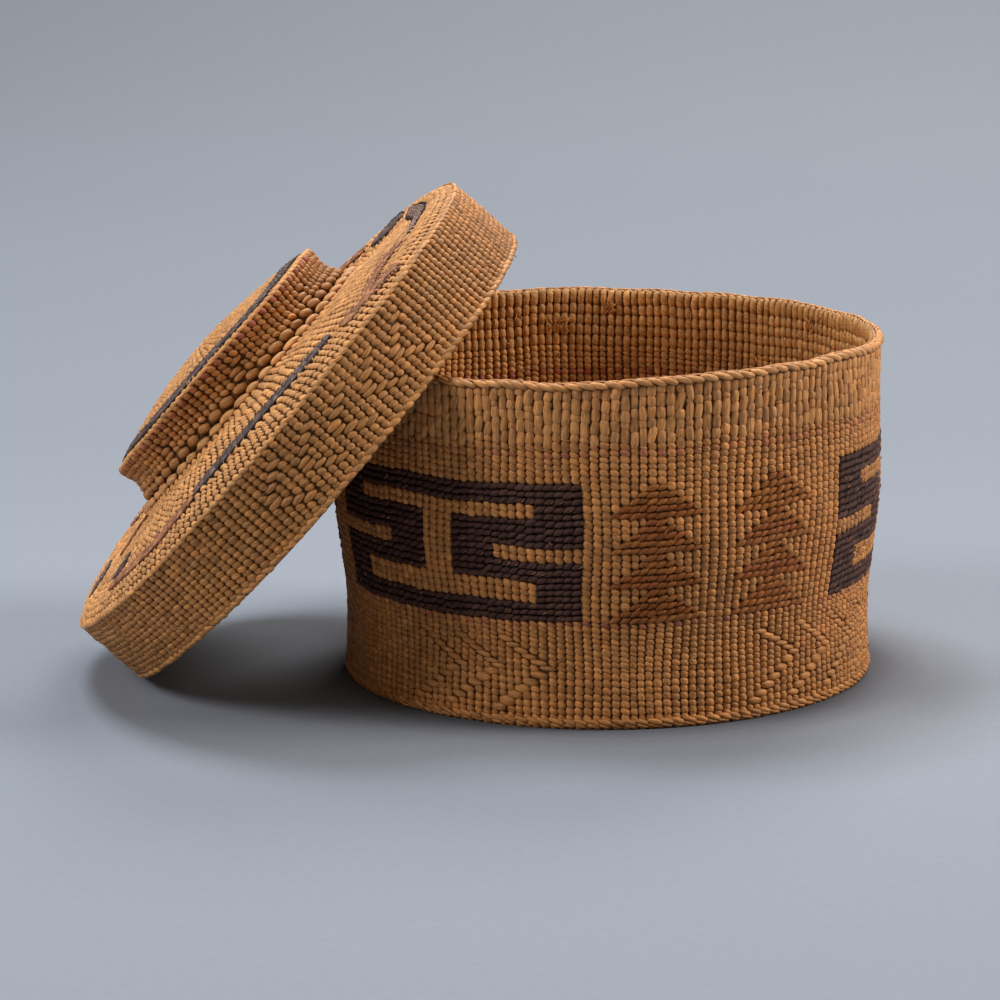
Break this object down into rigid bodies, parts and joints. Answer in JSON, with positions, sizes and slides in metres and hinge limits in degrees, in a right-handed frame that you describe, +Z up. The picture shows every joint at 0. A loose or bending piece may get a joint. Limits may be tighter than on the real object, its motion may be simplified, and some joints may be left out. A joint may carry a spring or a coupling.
{
  "type": "lidded basket",
  "caption": "Round twined root basket with worked frets and triangles, and a knobbed rattle-top lid that leans on its rim.",
  "frame": {"origin": "middle of the basket's flat base, at the floor", "axes": "+Z up; the lid leans on the rim from the -X side; +Y away from the pictured side"},
  "size_m": [0.2232, 0.1596, 0.1344],
  "materials": {
    "root_tan": "matte twined spruce root",
    "root_light": "matte braided spruce root",
    "root_inner": "matte twined spruce root, unpolished",
    "dyed_dark": "dark dyed root and grass strands",
    "dyed_rust": "rust-brown dyed strands",
    "pebble": "water-worn stone"
  },
  "bodies": {
    "basket": {"basket_base": "root_inner", "basket_wall": "root_tan", "rim_braid": "root_light", "base_ridge": "root_tan", "fret_panel_1": "dyed_dark", "fret_panel_2": "dyed_dark", "fret_panel_3": "dyed_dark", "triangle_column_1": "dyed_rust", "triangle_column_2": "dyed_rust", "triangle_column_3": "dyed_rust", "triangle_column_4": "dyed_rust", "triangle_column_5": "dyed_rust", "triangle_column_6": "dyed_rust"},
    "lid": {"lid_flange": "root_tan", "lid_rim_braid": "root_light", "lid_edge_ridge": "root_light", "lid_top": "root_tan", "knob_foot_ridge": "root_light", "chamber_floor": "root_inner", "knob_wall": "root_tan", "knob_top": "root_tan", "knob_band": "dyed_dark", "lid_dark_arc_1": "dyed_dark", "lid_dark_arc_2": "dyed_dark", "lid_brown_arc_1": "dyed_rust", "lid_brown_arc_2": "dyed_rust", "lid_brown_arc_3": "dyed_rust", "lid_brown_arc_4": "dyed_rust", "lid_dark_leaf_1": "dyed_dark", "lid_dark_leaf_2": "dyed_dark", "lid_dark_leaf_3": "dyed_dark", "lid_dark_leaf_4": "dyed_dark", "lid_brown_leaf": "dyed_rust"},
    "pebble_1": {"rattle_pebble_1": "pebble"},
    "pebble_2": {"rattle_pebble_2": "pebble"},
    "pebble_3": {"rattle_pebble_3": "pebble"},
    "pebble_4": {"rattle_pebble_4": "pebble"},
    "pebble_5": {"rattle_pebble_5": "pebble"}
  },
  "joints": [
    {"name": "lid_lift", "type": "slide", "parent": "basket", "child": "lid", "axis": [0, 0, 1], "range_m": [0, 0.12]},
    {"name": "pebble_1_roll", "type": "slide", "parent": "lid", "child": "pebble_1", "axis": [0.6671, 0, 0.745], "range_m": [0, 0.0624]},
    {"name": "pebble_2_roll", "type": "slide", "parent": "lid", "child": "pebble_2", "axis": [0.6671, 0, 0.745], "range_m": [0, 0.066]},
    {"name": "pebble_3_roll", "type": "slide", "parent": "lid", "child": "pebble_3", "axis": [0.6671, 0, 0.745], "range_m": [0, 0.0672]},
    {"name": "pebble_4_roll", "type": "slide", "parent": "lid", "child": "pebble_4", "axis": [0.6671, 0, 0.745], "range_m": [0, 0.066]},
    {"name": "pebble_5_roll", "type": "slide", "parent": "lid", "child": "pebble_5", "axis": [0.6671, 0, 0.745], "range_m": [0, 0.0624]}
  ]
}
